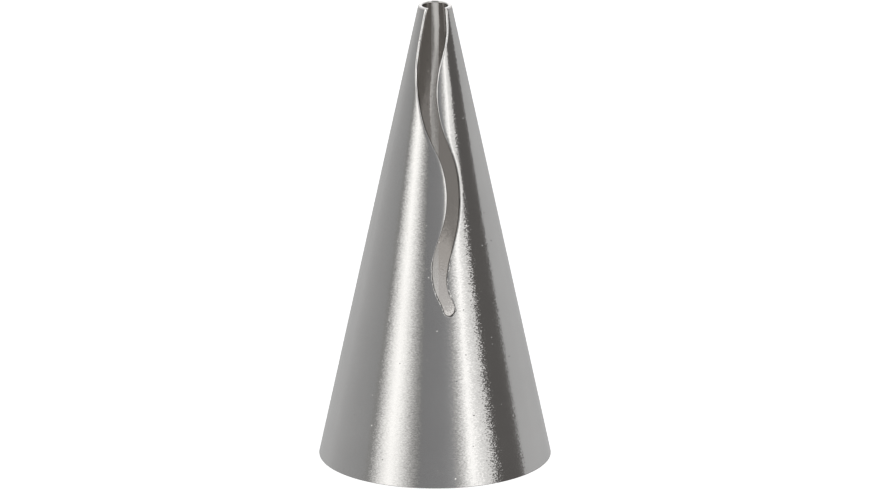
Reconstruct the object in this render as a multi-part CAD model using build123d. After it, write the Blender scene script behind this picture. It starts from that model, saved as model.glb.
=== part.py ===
from build123d import *
import math
import os

# Piping nozzle for ruffles and frills: a steep cone of thin stainless sheet with one
# wavy slot down its front, closed by a welded seam down its back.
# Lengths are millimetres. Z is the cone's axis and points from the base to the tip,
# the slot faces -Y, and the seam is on +Y. The origin is the centre of the base rim.

# Cone
base_diameter = 23.0
tip_diameter = 3.3
cone_height = 46.3
sheet_thickness = 0.4
tip_lip_radius = 0.14
base_edge_radius = 0.08
# The most of the sheet's thickness that one rounded edge may take
edge_limit_share = 0.4

# Wavy slot, seen square from the front
slot_length = 29.5
slot_sway = 1.9
slot_mouth_width = 2.8

# Places down the slot as shares of its length, from the tip to where its round end starts
slot_station_shares = (0.0, 0.10, 0.20, 0.30, 0.40, 0.50, 0.60, 0.70, 0.80, 0.87, 0.94, 0.985)
# The slot's middle at each place, to the right of the cone's axis, as shares of the sway
slot_middle_shares = (0.065, -0.087, -0.388, -0.39, -0.01, 0.67, 0.96, 0.85, 0.41, 0.25, 0.46, 0.75)
# The slot's width at each place, as shares of its width at the mouth
slot_width_shares = (0.71, 0.91, 0.778, 0.645, 0.595, 0.50, 0.45, 0.50, 0.60, 0.51, 0.43, 0.39)

# Welded seam
seam_width = 0.7

# How far a cutting shape runs past what it cuts
cut_overrun = 0.5

base_radius = base_diameter / 2
tip_radius = tip_diameter / 2
half_angle = math.atan((base_radius - tip_radius) / cone_height)
edge_limit = sheet_thickness * edge_limit_share


def cone_inside(depth, overrun):
    """The solid cone that lies the given depth under the outer face, run past both ends."""
    inset = depth / math.cos(half_angle)
    growth = overrun * math.tan(half_angle)
    cone = Cone(
        base_radius + growth - inset,
        tip_radius - growth - inset,
        cone_height + 2 * overrun,
        align=(Align.CENTER, Align.CENTER, Align.MIN),
    )
    return Pos(0, 0, -overrun) * cone


def closed_cone():
    """The rolled sheet closed all round, with square rims and no slot."""
    return cone_inside(0, 0) - cone_inside(sheet_thickness, cut_overrun)


def closed_cone_with_round_rims():
    """The same cone with the edges of its base rim and of its tip rounded."""
    cone = closed_cone()
    base_edges = cone.edges().filter_by(GeomType.CIRCLE).group_by(Axis.Z)[0]
    cone = fillet(base_edges, min(base_edge_radius, edge_limit))
    tip_edges = cone.edges().filter_by(GeomType.CIRCLE).group_by(Axis.Z)[-1]
    return fillet(tip_edges, min(tip_lip_radius, edge_limit))


def slot_edge_points(side):
    """Points down one edge of the slot: side is -1 for the left edge and 1 for the right."""
    points = []
    rows = zip(slot_station_shares, slot_middle_shares, slot_width_shares)
    for station, middle, width in rows:
        across = slot_sway * middle + side * slot_mouth_width * width / 2
        points.append((across, cone_height - slot_length * station))
    return points


def slot_outline():
    """The slot seen from the front: open past the tip, with a round lower end."""
    left = slot_edge_points(-1)
    right = slot_edge_points(1)
    lift = cone_height + cut_overrun
    left_top = (left[0][0], lift)
    right_top = (right[0][0], lift)
    end_left = Vector(*left[-1])
    end_right = Vector(*right[-1])
    end_width = end_right - end_left
    down_the_slot = Vector(end_width.Y, -end_width.X) / 2
    end_tip = (end_left + end_right) / 2 + down_the_slot
    edges = [
        Line(left_top, left[0]),
        Spline(*left),
        ThreePointArc(end_left, end_tip, end_right),
        Spline(*reversed(right)),
        Line(right[0], right_top),
        Line(right_top, left_top),
    ]
    return Plane.XZ * make_face(edges)


def slot_space():
    """The space of the slot, its walls square to the sheet as in a blank cut flat."""
    front = extrude(slot_outline(), amount=base_radius)
    outer_face = cone_inside(0, cut_overrun).faces().sort_by(Axis.Z)[1]
    patch = (outer_face & front).faces()[0]
    through = Solid.thicken(patch, -sheet_thickness - cut_overrun)
    outside = Solid.thicken(patch, cut_overrun)
    return through + outside


def seam_strip():
    """The upright slab that holds the seam, through the sheet at the back of the cone."""
    return Box(
        seam_width,
        base_radius + cut_overrun,
        cone_height,
        align=(Align.CENTER, Align.MIN, Align.MIN),
    )


def write_node(name, shape):
    """Writes one piece under its node's name, if it is the single solid it should be."""
    solids = shape.solids()
    if len(solids) != 1:
        raise ValueError(f"{name} has {len(solids)} solids")
    solids[0].label = name
    export_step(solids[0], f"parts/{name}.step")
    print(name, "volume", round(solids[0].volume, 3))


os.makedirs("parts", exist_ok=True)
slotted_cone = closed_cone_with_round_rims() - slot_space()
write_node("cone_shell", slotted_cone - seam_strip())
write_node("seam_weld", slotted_cone & seam_strip())
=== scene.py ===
import logging
import math
from collections.abc import Callable, Mapping
from dataclasses import dataclass
from enum import Enum

import bpy
import numpy as np
from bpy.types import Material, Mesh, Node, NodeSocket, NodeTree, Object
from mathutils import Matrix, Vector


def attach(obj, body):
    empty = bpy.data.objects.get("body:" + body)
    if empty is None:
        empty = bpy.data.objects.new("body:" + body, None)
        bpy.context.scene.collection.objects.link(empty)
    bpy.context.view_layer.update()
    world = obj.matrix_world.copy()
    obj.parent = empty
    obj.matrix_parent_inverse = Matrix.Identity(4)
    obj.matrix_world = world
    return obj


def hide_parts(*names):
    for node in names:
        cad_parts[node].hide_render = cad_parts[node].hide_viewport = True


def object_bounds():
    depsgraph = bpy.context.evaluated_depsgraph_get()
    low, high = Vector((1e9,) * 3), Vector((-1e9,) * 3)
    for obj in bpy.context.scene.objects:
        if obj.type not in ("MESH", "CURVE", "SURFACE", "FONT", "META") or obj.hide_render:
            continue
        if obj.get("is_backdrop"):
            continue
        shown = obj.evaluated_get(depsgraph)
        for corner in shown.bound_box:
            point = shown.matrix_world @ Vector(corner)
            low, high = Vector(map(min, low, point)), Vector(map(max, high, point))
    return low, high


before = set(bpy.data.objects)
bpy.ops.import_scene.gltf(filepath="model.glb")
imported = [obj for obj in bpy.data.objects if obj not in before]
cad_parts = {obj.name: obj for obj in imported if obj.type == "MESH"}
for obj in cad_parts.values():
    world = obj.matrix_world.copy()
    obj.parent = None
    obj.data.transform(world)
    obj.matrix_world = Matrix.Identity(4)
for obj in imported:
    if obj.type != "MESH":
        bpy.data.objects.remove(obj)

# A piping nozzle for ruffles: a brushed steel cone with one wavy slot down its front.
# Lengths are metres and angles are degrees unless a name says otherwise. A turn is the
# angle round the cone's axis from the front, which faces -Y, and grows towards +X.

CAD_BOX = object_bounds()
BODY = "root"
MM = 0.001
IMAGE_WIDTH = 870
# A quarter turn of a shader's anisotropy, which draws its highlights out across the tangent
QUARTER_TURN = 0.25
# The Mix node's sockets for colours, which share their names with those for numbers
MIX_COLOURS = (6, 7)
MIX_RESULT = 2
RANGE_SOCKETS = ("Value", "From Min", "From Max", "To Min", "To Max")

Array = np.ndarray
# What a node's input takes: a number, a vector or colour, or another node's output
Feed = float | tuple[float, ...] | NodeSocket
Sockets = Mapping[str, NodeSocket]

log = logging.getLogger("nozzle")


class Side(Enum):
    """The faces of a piece of sheet, in the order of its material slots."""

    OUTSIDE = 0
    INSIDE = 1
    EDGE = 2


def ramp(shares: Array, bend: float) -> Array:
    """Shares from 0 to 1 whose steps grow steadily.

    Args:
        shares: Even shares from 0 to 1.
        bend: How much the steps grow, from 0 for even ones to just under 1. A
            negative bend makes them shrink.

    Returns:
        The uneven shares.
    """
    return shares * (1 - bend) + bend * shares**2


def smooth_step(values: Array) -> Array:
    """A soft ramp from 0 to 1 as the values go from 0 to 1."""
    held = np.clip(values, 0, 1)
    return held * held * (3 - 2 * held)


def rise(values: Array, none: float, full: float) -> Array:
    """A soft ramp from 0 to 1 as the values go from none to full."""
    return smooth_step((values - none) / (full - none))


def curve_through(points: Array, count: int) -> Array:
    """A natural cubic curve through points.

    Args:
        points: The points in order, one row each.
        count: How many points of the curve to give.

    Returns:
        Points along the curve, one row each.
    """
    gaps = np.linalg.norm(np.diff(points, axis=0), axis=1)
    places = np.concatenate(([0.0], np.cumsum(gaps)))
    last = len(points) - 1
    matrix = np.eye(last + 1)
    bends = np.zeros_like(points)
    for i in range(1, last):
        matrix[i, i - 1 : i + 2] = gaps[i - 1], 2 * (gaps[i - 1] + gaps[i]), gaps[i]
        ahead = (points[i + 1] - points[i]) / gaps[i]
        behind = (points[i] - points[i - 1]) / gaps[i - 1]
        bends[i] = 6 * (ahead - behind)
    bends = np.linalg.solve(matrix, bends)
    at = np.linspace(0, places[-1], count)
    i = np.clip(np.searchsorted(places, at) - 1, 0, last - 1)
    gap = gaps[i][:, None]
    after = ((at - places[i]) / gaps[i])[:, None]
    before = 1 - after
    straight = before * points[i] + after * points[i + 1]
    curved = (before**3 - before) * bends[i] + (after**3 - after) * bends[i + 1]
    return straight + curved * gap**2 / 6


@dataclass(frozen=True)
class ConeForm:
    """The cone that the sheet is rolled to, and the flat sheet that it unrolls to."""

    base_radius: float = 11.5 * MM
    tip_radius: float = 1.65 * MM
    height: float = 46.3 * MM

    @property
    def half_angle(self) -> float:
        """The angle between the cone's axis and its side, in radians."""
        return math.atan((self.base_radius - self.tip_radius) / self.height)

    @property
    def apex(self) -> float:
        """How high the cone's side would meet its axis."""
        return self.base_radius / math.tan(self.half_angle)

    def radius(self, z: Array) -> Array:
        """The outer radius at a height."""
        return (self.apex - z) * math.tan(self.half_angle)

    def unroll(self, turn: Array, z: Array) -> Array:
        """Where a place on the cone lies on the flat sheet, seen from its outside.

        Args:
            turn: Angles from the front, in radians.
            z: Heights.

        Returns:
            Flat points, one row each, with the apex at the origin and the base below.
        """
        reach = (self.apex - z) / math.cos(self.half_angle)
        angle = turn * math.sin(self.half_angle)
        return np.stack((reach * np.sin(angle), -reach * np.cos(angle)), axis=-1)

    def roll(self, flat: Array) -> tuple[Array, Array]:
        """The way back from the flat sheet to the cone.

        Args:
            flat: Flat points, as unroll gives them.

        Returns:
            Their turns, in radians, and their heights.
        """
        reach = np.linalg.norm(flat, axis=-1)
        angle = np.arctan2(flat[..., 0], -flat[..., 1])
        return angle / math.sin(self.half_angle), self.apex - reach * math.cos(self.half_angle)


@dataclass(frozen=True)
class SlotForm:
    """The wavy slot, as it is seen square from the front."""

    length: float = 29.5 * MM
    sway: float = 1.9 * MM
    mouth_width: float = 2.8 * MM
    station_shares: tuple[float, ...] = (
        0.0, 0.10, 0.20, 0.30, 0.40, 0.50, 0.60, 0.70, 0.80, 0.87, 0.94, 0.985,
    )
    middle_shares: tuple[float, ...] = (
        0.065, -0.087, -0.388, -0.39, -0.01, 0.67, 0.96, 0.85, 0.41, 0.25, 0.46, 0.75,
    )
    width_shares: tuple[float, ...] = (
        0.71, 0.91, 0.778, 0.645, 0.595, 0.50, 0.45, 0.50, 0.60, 0.51, 0.43, 0.39,
    )
    end_shares: tuple[float, ...] = (0.75, 0.5, 0.25)
    curve_count: int = 6001

    def side(self, cone: ConeForm, hand: int) -> Array:
        """Points down one edge of the slot.

        Args:
            cone: The cone that the slot is cut in.
            hand: -1 for the left edge and 1 for the right.

        Returns:
            Places across and up, one row each.
        """
        middle = self.sway * np.array(self.middle_shares)
        width = self.mouth_width * np.array(self.width_shares)
        height = cone.height - self.length * np.array(self.station_shares)
        return np.stack((middle + hand * width / 2, height), axis=-1)

    def outline(self, cone: ConeForm) -> Array:
        """The slot's edge on the flat sheet.

        Args:
            cone: The cone that the slot is cut in.

        Returns:
            Close flat points, down the left edge, round the end and up the right edge.
        """
        left = self.side(cone, -1)
        right = self.side(cone, 1)
        middle = (left[-1] + right[-1]) / 2
        half = (right[-1] - left[-1]) / 2
        down = np.array((half[1], -half[0]))
        angles = math.pi * np.array(self.end_shares)[:, None]
        end = middle + half * np.cos(angles) + down * np.sin(angles)
        front = curve_through(np.concatenate((left, end, right[::-1])), self.curve_count)
        turn = np.arcsin(front[:, 0] / cone.radius(front[:, 1]))
        return cone.unroll(turn, front[:, 1])


@dataclass(frozen=True)
class SheetForm:
    """The gauge of the sheet and how its edges are eased."""

    thickness: float = 0.4 * MM
    lip_radius: float = 0.14 * MM
    base_radius: float = 0.08 * MM
    slot_radius: float = 0.08 * MM
    slot_tip_radius: float = 0.15 * MM
    roll_depth: float = 0.033 * MM
    roll_width: float = 0.38 * MM
    corner_steps: int = 4
    sharp_angle: float = 50.0


@dataclass
class SheetPatch:
    """A closed piece of sheet on a grid of rows and columns, with eased edges.

    The grid is the outer face, drawn in by its edges' radii. Places are a first number,
    which the piece reads as it likes, and a height. Reach and corner hold the step from
    each rim point to the true edge and its corner's radius.
    """

    first: Array
    height: Array
    sink: Array
    square: Array
    pull: Array
    sheet: SheetForm
    reach: Array | None = None
    corner: Array | None = None

    def rim(self) -> Array:
        """The grid's border.

        Returns:
            Flat indices, in order, once round.
        """
        rows, columns = self.first.shape
        grid = np.arange(rows * columns).reshape(rows, columns)
        return np.concatenate(
            (grid[:, 0], grid[-1, 1:], grid[-2::-1, -1], grid[0, -2:0:-1])
        )

    def layers(self) -> list[tuple[float, float, float]]:
        """The steps across the sheet's edge from its outer face to its inner one.

        Returns:
            For each step, the share of the edge's reach, the share of its corner
            radius and the share of the sheet's thickness that make its depth.
        """
        steps = np.linspace(0, math.pi / 2, self.sheet.corner_steps + 1)[1:]
        outer = [(math.sin(t), 1 - math.cos(t), 0.0) for t in steps]
        inner = [(out, -round_off, 1.0) for out, round_off, _ in reversed(outer)]
        return outer + [(1.0, 0.0, 0.5)] + inner

    def mesh(self, name: str, place: Callable[..., Array], dents: Array | None = None) -> Mesh:
        """Builds the closed mesh.

        Args:
            name: The mesh's name.
            place: Turns first numbers, heights, depths, squareness and pull into
                points.
            dents: How far each step of each rim point is pushed in along its reach,
                one row for each step.

        Returns:
            The mesh, with the material index of each face set to its side.
        """
        grids = (self.first, self.height, self.sink, self.square, self.pull)
        first, height, sink, square, pull = (values.ravel() for values in grids)
        rim = self.rim()
        points = [
            place(first, height, sink, square, pull),
            place(first, height, sink + self.sheet.thickness, square, pull),
        ]
        steps = self.layers()
        for number, (out, rounding, through) in enumerate(steps):
            share = out - (0 if dents is None else dents[number])
            depth = sink[rim] + self.corner * rounding + self.sheet.thickness * through
            ahead = first[rim] + self.reach[:, 0] * share
            above = height[rim] + self.reach[:, 1] * share
            points.append(place(ahead, above, depth, square[rim], pull[rim]))
        rows, columns = self.first.shape
        size = rows * columns
        grid = np.arange(size).reshape(rows, columns)
        cells = np.stack(
            (grid[:-1, :-1], grid[1:, :-1], grid[1:, 1:], grid[:-1, 1:]), axis=-1
        ).reshape(-1, 4)
        between = 2 * size + np.arange(len(steps) * len(rim)).reshape(len(steps), -1)
        bands = np.vstack((rim, between, size + rim))
        upper, lower = bands[:-1], bands[1:]
        corners = (upper, lower, np.roll(lower, -1, axis=1), np.roll(upper, -1, axis=1))
        wall = np.stack(corners, axis=-1).reshape(-1, 4)
        quads = np.concatenate((cells[:, ::-1], cells + size, wall[:, ::-1]))
        sides = np.repeat(
            (Side.OUTSIDE.value, Side.INSIDE.value, Side.EDGE.value),
            (len(cells), len(cells), len(wall)),
        )
        mesh = bpy.data.meshes.new(name)
        mesh.from_pydata(np.concatenate(points).tolist(), [], quads.tolist())
        mesh.polygons.foreach_set("material_index", sides.astype(np.int32))
        mesh.polygons.foreach_set("use_smooth", np.ones(len(quads), dtype=bool))
        mesh.set_sharp_from_angle(angle=math.radians(self.sheet.sharp_angle))
        mesh.update()
        return mesh


@dataclass(frozen=True)
class SeamForm:
    """The strip of weld down the back, between two upright planes."""

    width: float = 0.7 * MM

    def turn(self, radius: Array) -> Array:
        """The turn at which the seam's edge lies, at a radius."""
        return math.pi - np.arcsin(self.width / 2 / radius)


@dataclass
class ConeShell:
    """The rolled cone with its slot: one sheet, open at the tip, the base and the slot.

    Its grid starts at the slot, where its points are close, and ends at the seam and base.
    """

    cone: ConeForm
    slot: SlotForm
    sheet: SheetForm
    seam: SeamForm
    half_stations: int = 250
    seam_share: float = 0.66
    seam_growth: float = 0.5
    slot_growth: float = -0.72
    ring_shares: tuple[float, ...] = (0.0, 0.08, 0.18, 0.30, 0.44, 0.60, 0.78, 1.0)
    field_rings: int = 50
    field_growth: float = 0.35
    seam_column_shares: tuple[float, ...] = (0.988, 0.996, 1.0)
    seam_pull_power: int = 4
    tip_blend: int = 6
    rim_tolerance: float = 1.01
    square_height: float = 1.2 * MM
    worn_heights: tuple[float, float] = (30 * MM, 42 * MM)
    roll_heights: tuple[float, ...] = (22.5 * MM, 27 * MM, 36 * MM, 39 * MM)
    least_roll_share: float = 0.15
    burr_seed: int = 23
    burr_share: float = 0.22
    end_burr_share: float = 0.45
    end_burr_height: float = 21.5 * MM
    burr_rows: int = 3
    lump_rows: int = 5
    lump_lifts: tuple[float, ...] = (0.09 * MM, 0.035 * MM)
    lip_burr: float = 0.16 * MM
    lip_burr_height: float = 0.7 * MM

    @property
    def lip_reach(self) -> float:
        """How far from the apex the grid's top lies on the flat sheet."""
        return self.cone.tip_radius / math.sin(self.cone.half_angle) + self.sheet.lip_radius

    def seam_heights(self) -> Array:
        """Where the grid's rows meet the seam.

        Returns:
            Their heights, from the tip to the base.
        """
        slope = math.cos(self.cone.half_angle)
        top = self.cone.height - self.sheet.lip_radius * slope
        bottom = self.sheet.base_radius * slope
        count = round(self.half_stations * self.seam_share)
        shares = ramp(np.linspace(0, 1, count + 1), self.seam_growth)
        return top + (bottom - top) * shares

    def frame_line(self) -> tuple[Array, Array]:
        """The grid's outer side: down the left of the seam, round the base and up.

        Returns:
            The turns and the heights of its points.
        """
        seam_z = self.seam_heights()
        seam_turn = self.seam.turn(self.cone.radius(seam_z))
        base_count = self.half_stations - len(seam_z) + 1
        base_turn = seam_turn[-1] * np.linspace(1, 0, base_count + 1)[1:]
        half_turn = np.concatenate((seam_turn, base_turn))
        half_z = np.concatenate((seam_z, np.full(base_count, seam_z[-1])))
        turn = np.concatenate((-half_turn, half_turn[-2::-1]))
        return turn, np.concatenate((half_z, half_z[-2::-1]))

    def edge_radius(self, z: Array) -> Array:
        """The radius that the slot's edges are worn to at a height."""
        worn = self.sheet.slot_tip_radius - self.sheet.slot_radius
        return self.sheet.slot_radius + rise(z, *self.worn_heights) * worn

    def at_end(self, z: Array) -> Array:
        """How far heights lie by the slot's blind end, from 0 to 1."""
        return 1 - smooth_step((z - self.end_burr_height) / self.square_height)

    def burrs(self, patch: SheetPatch) -> Array:
        """The small burrs and dips along the slot's edge, largest at its blind end.

        Args:
            patch: The grid.

        Returns:
            How far each step of each rim point is pushed in, as shares of its reach.
        """
        random = np.random.default_rng(self.burr_seed)
        rows = patch.first.shape[0]
        knots = np.arange(0, rows + self.burr_rows, self.burr_rows)
        steps = len(patch.layers())
        at_end = self.at_end(patch.height[:, 0])
        size = self.burr_share + (self.end_burr_share - self.burr_share) * at_end
        dents = np.zeros((steps, len(patch.rim())))
        for step in range(steps):
            noise = np.interp(np.arange(rows), knots, random.uniform(0, 1, len(knots)) ** 2)
            dents[step, :rows] = noise * size * patch.square[:, 0]
        return dents

    def slot_line(self) -> tuple[Array, Array]:
        """The grid's inner side, along the slot.

        Returns:
            Flat points on the slot's edge, and the flat directions from them into the
            sheet.
        """
        edge = self.slot.outline(self.cone)
        along = np.gradient(edge, axis=0)
        along /= np.linalg.norm(along, axis=1)[:, None]
        into = np.stack((along[:, 1], -along[:, 0]), axis=-1)
        below = np.linalg.norm(edge + into * self.sheet.slot_tip_radius, axis=1) >= self.lip_reach
        inside = np.flatnonzero(below)
        edge = edge[inside[0] : inside[-1] + 1]
        into = into[inside[0] : inside[-1] + 1]
        gaps = np.linalg.norm(np.diff(edge, axis=0), axis=1)
        places = np.concatenate(([0.0], np.cumsum(gaps)))
        lowest = places[np.argmin(edge[:, 1])]
        down = ramp(np.linspace(0, 1, self.half_stations + 1), self.slot_growth)
        stations = np.concatenate(
            (lowest * down, places[-1] - (places[-1] - lowest) * down[-2::-1])
        )
        pick = [np.interp(stations, places, values) for values in (*edge.T, *into.T)]
        picked = np.stack(pick, axis=-1)
        directions = picked[:, 2:] / np.linalg.norm(picked[:, 2:], axis=1)[:, None]
        return picked[:, :2], directions

    def rings(self, edge: Array, into: Array, depths: Array) -> Array:
        """The part of the grid beside the slot, its end rows drawn to the lip.

        Args:
            edge: The flat points on the slot's edge, one for each row.
            into: The flat directions from them into the sheet.
            depths: How far from the edge each point lies, by row and column.

        Returns:
            Flat points, by row and column.
        """
        near = edge[:, None] + into[:, None] * depths[:, :, None]
        reach = np.linalg.norm(near, axis=-1)
        for end in (0, len(edge) - 1):
            miss = self.lip_reach - reach[end]
            for step in range(self.tip_blend):
                row = abs(end - step)
                share = 1 - step / self.tip_blend
                near[row] *= (1 + miss * share / reach[row])[:, None]
        return near

    def edge_sink(self, depths: Array, z: Array) -> Array:
        """How deep the sheet is rolled in beside the slot, lumpy at the blind end.

        Args:
            depths: How far from the slot's edge each point lies, by row and column.
            z: The height of each row.

        Returns:
            Depths under the true cone, by row and column.
        """
        none, low, high, gone = self.roll_heights
        share = rise(z, none, low) * rise(z, gone, high)
        share = self.least_roll_share + (1 - self.least_roll_share) * share
        left = 1 - depths / self.sheet.roll_width
        sink = self.sheet.roll_depth * share[:, None] * left**2
        random = np.random.default_rng(self.burr_seed)
        knots = np.arange(0, len(z) + self.lump_rows, self.lump_rows)
        for ring, lift in enumerate(self.lump_lifts):
            lumps = np.interp(np.arange(len(z)), knots, random.uniform(-1, 1, len(knots)))
            sink[:, ring] += lift * self.at_end(z) * lumps
        return sink

    def patch(self) -> SheetPatch:
        """Lays the sheet's grid.

        Returns:
            The grid, from the slot's edge at its first column to the seam and base.
        """
        edge, into = self.slot_line()
        frame_turn, frame_z = self.frame_line()
        radius = self.edge_radius(self.cone.roll(edge)[1])[:, None]
        depths = radius + (self.sheet.roll_width - radius) * np.array(self.ring_shares)
        near_turn, near_z = self.cone.roll(self.rings(edge, into, depths))
        along = ramp(np.linspace(0, 1, self.field_rings + 1)[1:], self.field_growth)
        along = np.concatenate((along[:-1], self.seam_column_shares))
        field_turn = near_turn[:, -1:] + (frame_turn[:, None] - near_turn[:, -1:]) * along
        field_z = near_z[:, -1:] + (frame_z[:, None] - near_z[:, -1:]) * along
        turn = np.concatenate((near_turn, field_turn), axis=1)
        z = np.concatenate((near_z, field_z), axis=1)
        sink = np.zeros_like(turn)
        sink[:, : depths.shape[1]] = self.edge_sink(depths, near_z[:, 0])
        across = np.linspace(0, 1, turn.shape[1])
        near_tip = smooth_step((self.cone.height - z[:, :1]) / self.square_height)
        square = near_tip * (1 - smooth_step(across))[None, :]
        pull = np.tile(across**self.seam_pull_power, (len(edge), 1))
        patch = SheetPatch(turn, z, sink, square, pull, self.sheet)
        patch.reach, patch.corner = self.edge_reach(patch, into)
        return patch

    def edge_reach(self, patch: SheetPatch, into: Array) -> tuple[Array, Array]:
        """How far each rim point stands inside the true edge, and its corner radius.

        At the left end of the lip, the slot's edge stands out by a burr.

        Args:
            patch: The grid.
            into: The flat directions from the slot's edge into the sheet, row by row.

        Returns:
            Steps in turn and height for each rim point, and corner radii.
        """
        rim = patch.rim()
        turn = patch.first.ravel()[rim]
        z = patch.height.ravel()[rim]
        slope = math.cos(self.cone.half_angle)
        angle = turn * math.sin(self.cone.half_angle)
        tangent = np.stack((np.cos(angle), np.sin(angle)), axis=-1)
        downward = np.stack((np.sin(angle), -np.cos(angle)), axis=-1)
        reach = np.zeros((len(turn), 2))
        corner = np.full(len(turn), self.sheet.base_radius)
        slot = slice(0, len(into))
        radius = self.edge_radius(z[slot])
        fall = (self.cone.height - z[slot]) / self.lip_burr_height
        burr = self.lip_burr * (1 - smooth_step(fall))
        burr[len(into) // 2 :] = 0
        out = -into * (radius + burr)[:, None]
        reach[slot, 0] += np.sum(out * tangent[slot], axis=1) / self.cone.radius(z[slot])
        reach[slot, 1] -= np.sum(out * downward[slot], axis=1) * slope
        at_tip = self.cone.height - z < self.sheet.lip_radius * slope * self.rim_tolerance
        at_base = z < self.sheet.base_radius * slope * self.rim_tolerance
        reach[at_tip, 1] = self.cone.height - z[at_tip]
        reach[at_base, 1] = -z[at_base]
        corner[slot] = radius
        corner[at_tip] = self.sheet.lip_radius
        return reach, corner

    def place(self, turn: Array, z: Array, depth: Array, square: Array, pull: Array) -> Array:
        """Points at a depth under the cone's outer face.

        Args:
            turn: Turns of the places on the outer face.
            z: Heights of the places on the outer face.
            depth: Depths, square to the sheet.
            square: How far the way in is square to the sheet, from 0 for level.
            pull: How far the point follows the seam's upright plane.

        Returns:
            The points, one row each.
        """
        lean = self.cone.half_angle
        height = z - depth * math.sin(lean) * square
        outer = self.cone.radius(height)
        radius = outer - depth / math.cos(lean)
        angle = turn * (1 + pull * (self.seam.turn(radius) / self.seam.turn(outer) - 1))
        return np.stack((radius * np.sin(angle), -radius * np.cos(angle), height), axis=-1)

    def build(self) -> Object:
        """Makes the shell's object."""
        patch = self.patch()
        return add_object("cone_sheet", patch.mesh("cone_sheet", self.place, self.burrs(patch)))

    def dress(self, piece: Object, groups: dict[str, NodeTree]) -> None:
        """Gives the shell its finishes in the order of Side, from the shared effects."""
        for finish in (OUTSIDE_STEEL, INSIDE_STEEL, EDGE_STEEL_HIGHLIGHT):
            piece.data.materials.append(finish.material(groups))


@dataclass
class SeamWeld:
    """The weld that closes the cone down its back, ground flush on both sides."""

    shell: ConeShell
    columns: int = 9

    def patch(self) -> SheetPatch:
        """Lays the weld's grid.

        Returns:
            The grid, with rows down the seam and columns across it.
        """
        heights = self.shell.seam_heights()
        sheet = self.shell.sheet
        half = self.shell.seam.width / 2
        across = np.tile(np.linspace(half, -half, self.columns), (len(heights), 1))
        z = np.tile(heights[:, None], (1, self.columns))
        plain = np.zeros_like(z)
        patch = SheetPatch(across, z, plain, plain, plain, sheet)
        rim_z = z.ravel()[patch.rim()]
        patch.reach = np.zeros((len(rim_z), 2))
        patch.corner = np.full(len(rim_z), sheet.base_radius)
        lean = math.cos(self.shell.cone.half_angle)
        at_tip = rim_z == heights[0]
        at_base = rim_z == heights[-1]
        patch.reach[at_tip, 1] = sheet.lip_radius * lean
        patch.reach[at_base, 1] = -sheet.base_radius * lean
        patch.corner[at_tip] = sheet.lip_radius
        return patch

    def place(self, across: Array, z: Array, depth: Array, square: Array, pull: Array) -> Array:
        """Points at a depth under the cone's outer face, the same distance across.

        Args:
            across: Distances from the seam's middle, to the object's +X side.
            z: Heights.
            depth: Depths, square to the sheet.
            square: Not used: the weld's ends are level.
            pull: Not used: the weld's sides are upright.

        Returns:
            The points, one row each.
        """
        radius = self.shell.cone.radius(z) - depth / math.cos(self.shell.cone.half_angle)
        return np.stack((across, np.sqrt(radius**2 - across**2), z), axis=-1)

    def build(self) -> Object:
        """Makes the weld's object."""
        return add_object("seam_strip", self.patch().mesh("seam_strip", self.place))

    def dress(self, piece: Object, groups: dict[str, NodeTree]) -> None:
        """Gives the weld its one finish on every side, from the shared effects."""
        for ground in [WELD_STEEL.material(groups)] * len(Side):
            piece.data.materials.append(ground)


def add_object(name: str, mesh: Mesh) -> Object:
    """Puts a mesh in the scene.

    Args:
        name: The object's name.
        mesh: Its mesh.

    Returns:
        The object.
    """
    thing = bpy.data.objects.new(name, mesh)
    bpy.context.scene.collection.objects.link(thing)
    return thing


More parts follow.
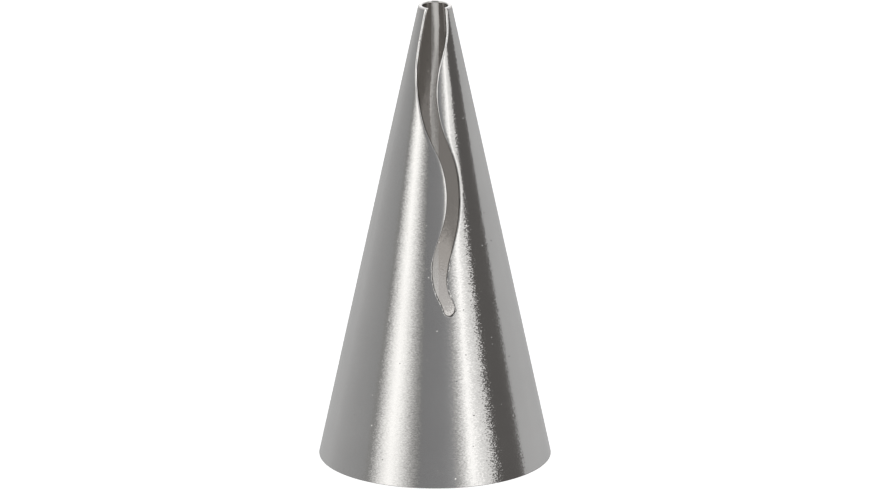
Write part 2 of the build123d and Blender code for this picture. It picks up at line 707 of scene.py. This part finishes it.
class Nodes:
    """A node tree, with short ways to add nodes, set their sockets and join them."""

    def __init__(self, tree: NodeTree) -> None:
        """Takes over a tree."""
        self.tree = tree

    def add(self, kind: str, sockets: dict[str | int, Feed] | None = None, **settings: object) -> Node:
        """Adds a node.

        Args:
            kind: The node's type name.
            sockets: Values or output sockets for its inputs, by name or number.
            settings: Values for its properties.

        Returns:
            The node.
        """
        node = self.tree.nodes.new(kind)
        for key, value in settings.items():
            setattr(node, key, value)
        for key, value in (sockets or {}).items():
            if isinstance(value, NodeSocket):
                self.tree.links.new(value, node.inputs[key])
            else:
                node.inputs[key].default_value = value
        return node

    def math(self, operation: str, first: Feed, second: Feed = 0.0, third: Feed = 0.0) -> NodeSocket:
        """A Math node's result."""
        sockets = {0: first, 1: second, 2: third}
        return self.add("ShaderNodeMath", sockets, operation=operation).outputs[0]

    def vector(self, operation: str, first: Feed, second: Feed = (0.0, 0.0, 0.0)) -> NodeSocket:
        """A Vector Math node's vector result."""
        sockets = {0: first, 1: second}
        return self.add("ShaderNodeVectorMath", sockets, operation=operation).outputs[0]

    def place(self) -> NodeSocket:
        """Where on its object a point of the surface lies, in metres."""
        return self.add("ShaderNodeTexCoord").outputs["Object"]

    def scaled(self, vector: Feed, factor: Feed) -> NodeSocket:
        """A vector times a number."""
        sockets = {0: vector, "Scale": factor}
        return self.add("ShaderNodeVectorMath", sockets, operation="SCALE").outputs[0]

    def noise(self, lookup: NodeSocket, detail: Feed, roughness: float) -> Node:
        """A Noise Texture node with one lump for each unit of its lookup."""
        sockets = {"Vector": lookup, "Scale": 1.0, "Detail": detail, "Roughness": roughness}
        return self.add("ShaderNodeTexNoise", sockets)

    def ranged(self, value: Feed, ends: tuple[Feed, Feed], results: tuple[float, float]) -> NodeSocket:
        """A number that goes from one result to the other as the value goes between the ends."""
        sockets = dict(zip(RANGE_SOCKETS, (value, *ends, *results)))
        return self.add("ShaderNodeMapRange", sockets).outputs[0]

    def mixed(self, factor: Feed, first: Feed, second: Feed) -> NodeSocket:
        """A mix of two colours.

        Args:
            factor: The share of the second.
            first: Red, green and blue, or an output socket.
            second: Red, green and blue, or an output socket.

        Returns:
            The output socket.
        """
        sockets = {"Factor": factor}
        for key, value in zip(MIX_COLOURS, (first, second)):
            sockets[key] = (*value, 1) if isinstance(value, tuple) else value
        return self.add("ShaderNodeMix", sockets, data_type="RGBA").outputs[MIX_RESULT]

    def group(self, tree: NodeTree, values: dict[str, float]) -> Node:
        """Places a node group.

        Args:
            tree: The group.
            values: Values for its inputs, by name.

        Returns:
            The group's node.
        """
        node = self.add("ShaderNodeGroup", node_tree=tree)
        for name, value in values.items():
            node.inputs[name].default_value = value
        return node


def bare_material(name: str) -> tuple[Material, Nodes]:
    """Starts a material from nothing.

    Args:
        name: The material's name.

    Returns:
        The material and its empty tree.
    """
    material = bpy.data.materials.new(name)
    material.use_nodes = True
    material.node_tree.nodes.clear()
    return material, Nodes(material.node_tree)


def new_group(
    name: str, inputs: dict[str, float], outputs: dict[str, str]
) -> tuple[NodeTree, Nodes, Sockets, Sockets]:
    """Starts a shader node group.

    Args:
        name: The group's name.
        inputs: Its number inputs and their defaults.
        outputs: Its outputs and their socket types.

    Returns:
        The group's tree, its nodes, the sockets of its inputs and those of its outputs.
    """
    tree = bpy.data.node_groups.new(name, "ShaderNodeTree")
    for label, value in inputs.items():
        socket = tree.interface.new_socket(label, in_out="INPUT", socket_type="NodeSocketFloat")
        socket.default_value = value
    for label, kind in outputs.items():
        tree.interface.new_socket(label, in_out="OUTPUT", socket_type=kind)
    nodes = Nodes(tree)
    return tree, nodes, nodes.add("NodeGroupInput").outputs, nodes.add("NodeGroupOutput").inputs


def brush_lines_group() -> NodeTree:
    """The effect of fine brush lines that run round the cone.

    Returns:
        A group with the lines' length and spacing, how far they tip the surface round
        and up, and the tips of the nicks as inputs. It puts out the tipped normal and
        a mask of the lines.
    """
    tree, nodes, given, result = new_group(
        "brush_lines",
        {
            "Line Length": 1.0,
            "Line Spacing": 0.1,
            "Tip Round": 0.01,
            "Tip Up": 0.005,
            "Detail": 2.0,
            "Nick Round": 0.0,
            "Nick Up": 0.0,
        },
        {"Normal": "NodeSocketVector", "Lines": "NodeSocketFloat"},
    )
    place = nodes.place()
    length = nodes.math("MULTIPLY", given["Line Length"], MM)
    spacing = nodes.math("MULTIPLY", given["Line Spacing"], MM)
    steps = nodes.add("ShaderNodeCombineXYZ", {0: length, 1: length, 2: spacing}).outputs[0]
    lookup = nodes.vector("DIVIDE", place, steps)
    noise = nodes.noise(lookup, given["Detail"], roughness=0.6)
    parts = nodes.add("ShaderNodeSeparateColor", {0: noise.outputs["Color"]})
    upright = nodes.add("ShaderNodeNewGeometry").outputs["Normal"]
    round_way = nodes.vector("NORMALIZE", nodes.vector("CROSS_PRODUCT", (0.0, 0.0, 1.0), upright))
    up_way = nodes.vector("CROSS_PRODUCT", upright, round_way)
    tips = []
    for part, amount, nick in (
        ("Red", "Tip Round", "Nick Round"),
        ("Green", "Tip Up", "Nick Up"),
    ):
        centred = nodes.math("SUBTRACT", parts.outputs[part], 0.5)
        tips.append(
            nodes.math("MULTIPLY_ADD", centred, given[amount], given[nick])
        )
    tipped = nodes.vector("ADD", upright, nodes.scaled(round_way, tips[0]))
    tipped = nodes.vector("ADD", tipped, nodes.scaled(up_way, tips[1]))
    tree.links.new(nodes.vector("NORMALIZE", tipped), result["Normal"])
    tree.links.new(parts.outputs["Blue"], result["Lines"])
    return tree


def nicks_group() -> NodeTree:
    """The effect of nicks: tiny dents, a little longer round the cone than up it.

    Returns:
        A group with the nicks' spacing, size, stretch, how steeply their sides rise, the
        share of the places that have one, and their tip as inputs. It puts out how far
        the surface tips round and up.
    """
    tree, nodes, given, result = new_group(
        "nicks",
        {
            "Nick Spacing": 0.8,
            "Nick Size": 0.1,
            "Nick Stretch": 1.5,
            "Nick Rise": 3.0,
            "Nick Share": 0.3,
            "Nick Tip": 0.2,
        },
        {"Round": "NodeSocketFloat", "Up": "NodeSocketFloat"},
    )
    place = nodes.place()
    tall = nodes.math("MULTIPLY", given["Nick Spacing"], MM)
    wide = nodes.math("MULTIPLY", tall, given["Nick Stretch"])
    steps = nodes.add("ShaderNodeCombineXYZ", {0: wide, 1: wide, 2: tall}).outputs[0]
    cells = nodes.add(
        "ShaderNodeTexVoronoi", {"Vector": nodes.vector("DIVIDE", place, steps), "Scale": 1.0}
    )
    parts = nodes.add("ShaderNodeSeparateColor", {0: cells.outputs["Color"]})
    reach = nodes.math("DIVIDE", given["Nick Size"], given["Nick Spacing"])
    away = nodes.math("DIVIDE", cells.outputs["Distance"], reach)
    depth = nodes.math("MAXIMUM", nodes.math("SUBTRACT", 1.0, away), 0.0)
    risen = nodes.math("MULTIPLY", depth, given["Nick Rise"])
    depth = nodes.math("MINIMUM", risen, 1.0)
    struck = nodes.math("LESS_THAN", parts.outputs["Red"], given["Nick Share"])
    depth = nodes.math("MULTIPLY", nodes.math("MULTIPLY", depth, struck), given["Nick Tip"])
    for part, name in (("Green", "Round"), ("Blue", "Up")):
        centred = nodes.math("MULTIPLY_ADD", parts.outputs[part], 2.0, -1.0)
        tree.links.new(nodes.math("MULTIPLY", centred, depth), result[name])
    return tree


def rubbed_side_group() -> NodeTree:
    """The effect of a side of the cone that has been rubbed more than the rest.

    Returns:
        A group with the side's middle and half width in degrees of turn, the share of
        the half width that is rubbed in full, the heights between which it fades out,
        and the height at which it faces straight out and how many degrees it leans
        round for each mm above that, as inputs. It puts out a mask and the lean.
    """
    tree, nodes, given, result = new_group(
        "rubbed_side",
        {
            "Middle Turn": 0.0,
            "Half Width": 10.0,
            "Full Share": 0.5,
            "Full Below": 10.0,
            "None Above": 20.0,
            "Straight At": 17.0,
            "Lean Rate": 0.0,
        },
        {"Rubbed": "NodeSocketFloat", "Lean": "NodeSocketFloat"},
    )
    place = nodes.place()
    parts = nodes.add("ShaderNodeSeparateXYZ", {0: place})
    ahead = nodes.math("MULTIPLY", parts.outputs["Y"], -1.0)
    turn = nodes.math("DEGREES", nodes.math("ARCTAN2", parts.outputs["X"], ahead))
    away = nodes.math("ABSOLUTE", nodes.math("SUBTRACT", turn, given["Middle Turn"]))
    aside = nodes.math("DIVIDE", away, given["Half Width"])
    across = nodes.ranged(aside, (given["Full Share"], 1.0), (1.0, 0.0))
    height = nodes.math("DIVIDE", parts.outputs["Z"], MM)
    upward = nodes.ranged(height, (given["Full Below"], given["None Above"]), (1.0, 0.0))
    above = nodes.math("SUBTRACT", height, given["Straight At"])
    lean = nodes.math("RADIANS", nodes.math("MULTIPLY", above, given["Lean Rate"]))
    tree.links.new(nodes.math("MULTIPLY", across, upward), result["Rubbed"])
    tree.links.new(nodes.math("MULTIPLY", lean, across), result["Lean"])
    return tree


def painted_tip_light_group() -> NodeTree:
    """A mask of painted light that grows towards the tip, where more light falls on the slot's edges.

    Returns:
        A group with the heights between which the painted light grows as inputs and a
        mask as its output.
    """
    tree, nodes, given, result = new_group(
        "painted_tip_light", {"None Below": 34.0, "Full Above": 40.0}, {"Painted Light": "NodeSocketFloat"}
    )
    place = nodes.place()
    upward = nodes.add("ShaderNodeSeparateXYZ", {0: place}).outputs["Z"]
    height = nodes.math("DIVIDE", upward, MM)
    tip_light = nodes.ranged(height, (given["None Below"], given["Full Above"]), (0.0, 1.0))
    tree.links.new(tip_light, result["Painted Light"])
    return tree


def handling_group() -> NodeTree:
    """The effect of handling: broad, soft patches where the steel is a little duller.

    Returns:
        A group with the patches' size as its input and a mask as its output.
    """
    tree, nodes, given, result = new_group(
        "handling", {"Patch Size": 6.0}, {"Patches": "NodeSocketFloat"}
    )
    place = nodes.place()
    size = nodes.math("MULTIPLY", given["Patch Size"], MM)
    lookup = nodes.scaled(place, nodes.math("DIVIDE", 1.0, size))
    noise = nodes.noise(lookup, detail=3.0, roughness=0.5)
    tree.links.new(noise.outputs["Fac"], result["Patches"])
    return tree


@dataclass(frozen=True)
class SteelFinish:
    """How one face of the steel is finished."""

    name: str
    pale: tuple[float, float, float]
    dull: tuple[float, float, float]
    roughness: float
    roughness_change: float
    anisotropy: float
    line_length: float
    line_spacing: float
    tip_round: float
    tip_up: float
    detail: float = 2.0
    patch_size: float = 6.0
    line_tone: float = 0.15
    rubbed_tip: float = 0.0
    # How far the colour is darkened low down, as painted shade, against the painted light at the tip
    painted_low_shade: float = 1.0
    rubbed: bool = False
    nick_share: float = 0.0

    def material(self, groups: dict[str, NodeTree]) -> Material:
        """Makes the finish's material.

        Args:
            groups: The shared effects, by name.

        Returns:
            The material.
        """
        material = bpy.data.materials.new(self.name)
        material.use_nodes = True
        nodes = Nodes(material.node_tree)
        shader = material.node_tree.nodes["Principled BSDF"]
        links = material.node_tree.links
        brush = nodes.group(
            groups["brush_lines"],
            {
                "Line Length": self.line_length,
                "Line Spacing": self.line_spacing,
                "Tip Round": self.tip_round,
                "Tip Up": self.tip_up,
                "Detail": self.detail,
            },
        )
        nicks = nodes.group(groups["nicks"], {**NICKS, "Nick Share": self.nick_share})
        aside = nicks.outputs["Round"]
        if self.rubbed:
            rubbed = nodes.group(groups["rubbed_side"], RUBBED_SIDE)
            tip = nodes.math("MULTIPLY_ADD", rubbed.outputs[0], self.rubbed_tip, self.tip_round)
            aside = nodes.math("ADD", aside, rubbed.outputs["Lean"])
            links.new(tip, brush.inputs["Tip Round"])
        links.new(aside, brush.inputs["Nick Round"])
        links.new(nicks.outputs["Up"], brush.inputs["Nick Up"])
        patches = nodes.group(groups["handling"], {"Patch Size": self.patch_size})
        lines = nodes.math("MULTIPLY", brush.outputs["Lines"], self.line_tone)
        wear = nodes.math("MULTIPLY_ADD", patches.outputs[0], 1 - self.line_tone, lines)
        tone = nodes.mixed(wear, self.dull, self.pale)
        # Painted light and shade by height: the colour stays pale towards the tip, where more light
        # falls, and is darkened low down as painted shade
        if self.painted_low_shade < 1:
            tip_light = nodes.group(groups["painted_tip_light"], {})
            low = tuple(part * self.painted_low_shade for part in self.dull)
            tone = nodes.mixed(tip_light.outputs[0], low, tone)
        spread = nodes.math("MULTIPLY_ADD", wear, -self.roughness_change, self.roughness)
        links.new(tone, shader.inputs["Base Color"])
        links.new(spread, shader.inputs["Roughness"])
        links.new(brush.outputs["Normal"], shader.inputs["Normal"])
        shader.inputs["Metallic"].default_value = 1.0
        if self.anisotropy:
            shader.inputs["Anisotropic"].default_value = self.anisotropy
            shader.inputs["Anisotropic Rotation"].default_value = QUARTER_TURN
            tangent = nodes.add("ShaderNodeTangent", direction_type="RADIAL", axis="Z")
            links.new(tangent.outputs[0], shader.inputs["Tangent"])
        return material


RUBBED_SIDE = {
    "Middle Turn": 34.0,
    "Half Width": 15.0,
    "Full Share": 0.5,
    "Full Below": 26.0,
    "None Above": 44.0,
    "Straight At": 17.0,
    "Lean Rate": 0.095,
}
NICKS = {
    "Nick Spacing": 0.7,
    "Nick Size": 0.08,
    "Nick Stretch": 1.3,
    "Nick Rise": 3.0,
    "Nick Tip": 0.26,
}
OUTSIDE_STEEL = SteelFinish(
    name="brushed_outside",
    pale=(0.64, 0.635, 0.625),
    dull=(0.51, 0.505, 0.50),
    roughness=0.20,
    roughness_change=0.02,
    anisotropy=0.97,
    line_length=0.20,
    line_spacing=0.085,
    tip_round=0.155,
    tip_up=0.05,
    detail=1.0,
    line_tone=0.4,
    rubbed_tip=0.17,
    rubbed=True,
    nick_share=0.4,
)
INSIDE_STEEL = SteelFinish(
    name="rolled_inside",
    pale=(0.495, 0.48, 0.465),
    dull=(0.375, 0.36, 0.345),
    roughness=0.11,
    roughness_change=0.02,
    anisotropy=0.5,
    line_length=0.16,
    line_spacing=0.14,
    tip_round=0.13,
    tip_up=0.11,
    line_tone=0.6,
    nick_share=0.6,
)
# The eased edges: steel painted much paler than the rest, a painted highlight for the bright glints
# along the slot, and darkened low down as painted shade
EDGE_STEEL_HIGHLIGHT = SteelFinish(
    name="eased_edge_painted_highlight",
    pale=(0.92, 0.91, 0.90),
    dull=(0.86, 0.85, 0.84),
    roughness=0.26,
    roughness_change=0.08,
    anisotropy=0.0,
    line_length=0.12,
    line_spacing=0.12,
    tip_round=0.25,
    tip_up=0.25,
    patch_size=1.0,
    painted_low_shade=0.48,
)
WELD_STEEL = SteelFinish(
    name="ground_weld",
    pale=(0.58, 0.57, 0.555),
    dull=(0.53, 0.52, 0.505),
    roughness=0.27,
    roughness_change=0.04,
    anisotropy=0.7,
    line_length=0.5,
    line_spacing=0.12,
    tip_round=0.12,
    tip_up=0.06,
    patch_size=1.5,
)


@dataclass(frozen=True)
class StudioPanel:
    """One upright panel of the studio round the nozzle, which only reflections see.

    Its glow goes through its tones, each a turn and a strength. Its bottom and top are
    degrees above the horizon.
    """

    name: str
    tones: tuple[tuple[float, float], ...]
    tint: tuple[float, float, float] = (1.0, 1.0, 1.0)
    bottom: float = -60.0
    top: float = 60.0
    distance: float = 5.0
    step: float = 3.0
    strongest: float = 4.0

    @property
    def ends(self) -> tuple[float, float]:
        """The turns of the panel's two sides."""
        return self.tones[0][0], self.tones[-1][0]

    def mesh(self) -> Mesh:
        """Cuts the panel.

        Returns:
            A curved strip, with how far across it each corner lies.
        """
        start, end = self.ends
        count = max(2, math.ceil((end - start) / self.step) + 1)
        shares = np.linspace(0, 1, count)
        turns = np.radians(start + (end - start) * shares)
        east = self.distance * np.sin(turns)
        north = -self.distance * np.cos(turns)
        rows = []
        for lift in (self.bottom, self.top):
            height = np.full(count, self.distance * math.tan(math.radians(lift)))
            rows.append(np.stack((east, north, height), axis=-1))
        low = np.arange(count)
        quads = np.stack((low[:-1], low[1:], low[1:] + count, low[:-1] + count), axis=-1)
        mesh = bpy.data.meshes.new(self.name)
        mesh.from_pydata(np.concatenate(rows).tolist(), [], quads.tolist())
        across = mesh.attributes.new("across", "FLOAT", "POINT")
        across.data.foreach_set("value", np.tile(shares, 2).astype(np.float32))
        return mesh

    def material(self) -> Material:
        """Makes the panel's glow.

        Returns:
            Its material.
        """
        start, end = self.ends
        material, nodes = bare_material(self.name)
        across = nodes.add("ShaderNodeAttribute", attribute_name="across").outputs["Fac"]
        glow = nodes.add("ShaderNodeValToRGB", {0: across})
        elements = glow.color_ramp.elements
        while len(elements) < len(self.tones):
            elements.new(1.0)
        for element, (turn, tone) in zip(elements, self.tones):
            element.position = (turn - start) / (end - start)
            level = tone / self.strongest
            element.color = (*(level * part for part in self.tint), 1)
        light = nodes.add(
            "ShaderNodeEmission", {"Color": glow.outputs[0], "Strength": self.strongest}
        )
        nodes.add("ShaderNodeOutputMaterial", {"Surface": light.outputs[0]})
        return material

    def build(self) -> None:
        """Hangs the panel in the studio."""
        panel = add_object(self.name, self.mesh())
        panel.data.materials.append(self.material())
        show_to_reflections_only(panel)
        panel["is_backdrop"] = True


def show_to_reflections_only(thing: Object) -> None:
    """Hides an object from all but glossy rays.

    Args:
        thing: The object.
    """
    thing.visible_camera = False
    thing.visible_diffuse = False
    thing.visible_transmission = False
    thing.visible_volume_scatter = False
    thing.visible_shadow = False


PANELS = (
    StudioPanel(
        name="left_softbox",
        tones=(
            (-74, 0.42), (-69, 0.34), (-66, 0.58), (-62, 0.88), (-55, 1.45), (-47, 1.82),
            (-39, 1.52), (-31, 1.00), (-24, 0.56), (-16, 0.30),
        ),
        tint=(1.0, 0.99, 0.97),
        bottom=-22.0,
        top=45.0,
    ),
    StudioPanel(
        name="front_drape",
        tones=((-16, 0.30), (-8, 0.31), (8, 0.33), (16, 0.38), (20, 0.46)),
        tint=(1.0, 1.0, 1.02),
        bottom=-22.0,
        top=45.0,
    ),
    StudioPanel(
        name="right_softbox",
        tones=(
            (20, 0.46), (24, 0.60), (31, 1.15), (38, 1.90), (43, 1.52), (47, 1.24), (55, 1.12),
            (59.5, 0.95),
        ),
        tint=(1.0, 0.99, 0.975),
        bottom=-22.0,
        top=45.0,
    ),
    StudioPanel(
        name="dark_flag",
        tones=((59.5, 0.22), (64, 0.155), (85, 0.15), (93, 0.16), (98, 0.22)),
        tint=(1.0, 0.95, 0.92),
        top=45.0,
    ),
    StudioPanel(
        name="right_card",
        tones=((98, 0.50), (101, 0.62), (130, 0.64), (148, 0.58), (180, 0.50)),
        top=2.0,
    ),
    StudioPanel(
        name="left_card",
        tones=((-180, 0.50), (-146, 0.60), (-131, 0.62), (-116, 0.55), (-100, 0.49), (-74, 0.42)),
        top=2.0,
    ),
    StudioPanel(
        name="right_wall",
        tones=((98, 0.50), (101, 0.62), (140, 0.64), (156, 0.90), (166, 1.02), (180, 1.05)),
        bottom=2.0,
        top=80.0,
    ),
    StudioPanel(
        name="left_wall",
        tones=(
            (-180, 1.05), (-166, 1.02), (-156, 0.90), (-140, 0.64), (-116, 0.55), (-100, 0.49),
            (-74, 0.42),
        ),
        bottom=2.0,
        top=80.0,
    ),
    StudioPanel(
        name="table_front",
        tones=((-74, 0.97), (60, 0.97)),
        tint=(1.0, 0.99, 0.98),
        top=-22.0,
    ),
    StudioPanel(
        name="ceiling",
        tones=((-74, 0.10), (98, 0.10)),
        bottom=45.0,
        top=86.0,
    ),
)


@dataclass(frozen=True)
class TableCard:
    """A lit card under the table, which only the inside of the cone reflects.

    Its corners and its height are in mm.
    """

    name: str
    corners: tuple[tuple[float, float], ...]
    height: float
    glow: float

    def build(self) -> None:
        """Lays the card."""
        mesh = bpy.data.meshes.new(self.name)
        corners = [(x * MM, y * MM, self.height * MM) for x, y in self.corners]
        mesh.from_pydata(corners, [], [range(len(corners))])
        card = add_object(self.name, mesh)
        material, nodes = bare_material(self.name)
        light = nodes.add("ShaderNodeEmission", {"Strength": self.glow})
        nodes.add("ShaderNodeOutputMaterial", {"Surface": light.outputs[0]})
        card.data.materials.append(material)
        show_to_reflections_only(card)
        card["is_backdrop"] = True


@dataclass(frozen=True)
class Studio:
    """The pale floor, the soft lamp, the white surround and the panels."""

    floor_size: float = 1.6
    floor_white: float = 0.80
    floor_glow: float = 0.78
    lamp_size: float = 1.2
    lamp_height: float = 1.3
    lamp_power: float = 6.0
    surround_white: float = 1.0
    surround_ambient: float = 0.20
    table_cards: tuple[TableCard, ...] = (
        TableCard("wide_card", ((-11, 11), (11, 11), (11, -9.2), (-11, -9.2)), -5.0, 0.92),
        TableCard("strip_card", ((-11, -8.7), (-0.3, -4.23), (0.8, -9.2), (-11, -9.2)), -4.9, 1.86),
    )

    def floor(self) -> None:
        """Lays the floor: white to the camera, but for the nozzle's soft shadow."""
        half = self.floor_size / 2
        corners = [(-half, -half, 0), (half, -half, 0), (half, half, 0), (-half, half, 0)]
        mesh = bpy.data.meshes.new("floor")
        mesh.from_pydata(corners, [], [(0, 1, 2, 3)])
        floor = add_object("floor", mesh)
        material, nodes = bare_material("pale_floor")
        white = (self.floor_white,) * 3
        paint = nodes.add("ShaderNodeBsdfDiffuse", {"Color": (*white, 1)})
        path = nodes.add("ShaderNodeLightPath")
        seen = nodes.math(
            "MAXIMUM", path.outputs["Is Camera Ray"], path.outputs["Is Transmission Ray"]
        )
        seen = nodes.math("MAXIMUM", seen, path.outputs["Is Glossy Ray"])
        glow = nodes.math("MULTIPLY", seen, self.floor_glow)
        light = nodes.add("ShaderNodeEmission", {"Strength": glow})
        both = nodes.add("ShaderNodeAddShader", {0: paint.outputs[0], 1: light.outputs[0]})
        nodes.add("ShaderNodeOutputMaterial", {"Surface": both.outputs[0]})
        floor.data.materials.append(material)
        floor.visible_glossy = False
        floor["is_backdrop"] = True

    def lamp(self) -> None:
        """Hangs a broad, soft lamp over the nozzle."""
        data = bpy.data.lights.new("overhead_lamp", "AREA")
        data.shape = "SQUARE"
        data.size = self.lamp_size
        data.energy = self.lamp_power
        lamp = bpy.data.objects.new("overhead_lamp", data)
        lamp.location = (0, 0, self.lamp_height)
        lamp.visible_glossy = False
        lamp.visible_camera = False
        bpy.context.scene.collection.objects.link(lamp)

    def surround(self) -> None:
        """Sets the world: white to the camera and to reflections, plain light otherwise."""
        world = bpy.data.worlds.new("white_surround")
        world.use_nodes = True
        world.node_tree.nodes.clear()
        nodes = Nodes(world.node_tree)
        path = nodes.add("ShaderNodeLightPath")
        seen = nodes.math("MAXIMUM", path.outputs["Is Camera Ray"], path.outputs["Is Glossy Ray"])
        seen = nodes.math("MAXIMUM", seen, path.outputs["Is Transmission Ray"])
        change = self.surround_white - self.surround_ambient
        strength = nodes.math("MULTIPLY_ADD", seen, change, self.surround_ambient)
        light = nodes.add("ShaderNodeBackground", {"Color": (1, 1, 1, 1), "Strength": strength})
        nodes.add("ShaderNodeOutputWorld", {"Surface": light.outputs[0]})
        bpy.context.scene.world = world

    def build(self) -> None:
        """Sets up the whole studio."""
        self.surround()
        self.floor()
        for card in self.table_cards:
            card.build()
        self.lamp()
        for panel in PANELS:
            panel.build()


@dataclass(frozen=True)
class ProductCamera:
    """The long lens that sees the nozzle as the photograph does."""

    elevation: float = 17.523
    distance: float = 1.5
    aim_height: float = 21.6 * MM
    focal_pixels: float = 15192.0
    sensor: float = 36.0
    clip_start: float = 0.1
    clip_end: float = 20.0

    def build(self) -> Object:
        """Adds the camera and makes it the scene's.

        Returns:
            The camera.
        """
        data = bpy.data.cameras.new("product_camera")
        data.sensor_fit = "HORIZONTAL"
        data.sensor_width = self.sensor
        data.lens = self.focal_pixels * self.sensor / IMAGE_WIDTH
        data.clip_start = self.clip_start
        data.clip_end = self.clip_end
        camera = bpy.data.objects.new("product_camera", data)
        lift = math.radians(self.elevation)
        camera.location = (
            0.0,
            -self.distance * math.cos(lift),
            self.aim_height + self.distance * math.sin(lift),
        )
        camera.rotation_euler = (math.pi / 2 - lift, 0.0, 0.0)
        bpy.context.scene.collection.objects.link(camera)
        bpy.context.scene.camera = camera
        return camera


def main() -> None:
    """Builds the nozzle and its studio."""
    logging.basicConfig(level=logging.INFO, format="%(message)s")
    bpy.context.scene.view_settings.view_transform = "Standard"
    trees = (
        brush_lines_group(),
        nicks_group(),
        rubbed_side_group(),
        painted_tip_light_group(),
        handling_group(),
    )
    groups = {tree.name: tree for tree in trees}

    shell = ConeShell(ConeForm(), SlotForm(), SheetForm(), SeamForm())
    cone_sheet = shell.build()
    shell.dress(cone_sheet, groups)
    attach(cone_sheet, BODY)
    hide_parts("cone_shell")
    log.info("cone_sheet: %d faces", len(cone_sheet.data.polygons))

    weld = SeamWeld(shell)
    seam_strip = weld.build()
    weld.dress(seam_strip, groups)
    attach(seam_strip, BODY)
    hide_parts("seam_weld")
    log.info("seam_strip: %d faces", len(seam_strip.data.polygons))

    Studio().build()
    camera = ProductCamera().build()
    log.info("camera: %.1f mm lens", camera.data.lens)

    boxes = {"cad": CAD_BOX, "visual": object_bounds()}
    plain = {name: [[float(v) for v in corner] for corner in box] for name, box in boxes.items()}


if __name__ == "__main__":
    main()
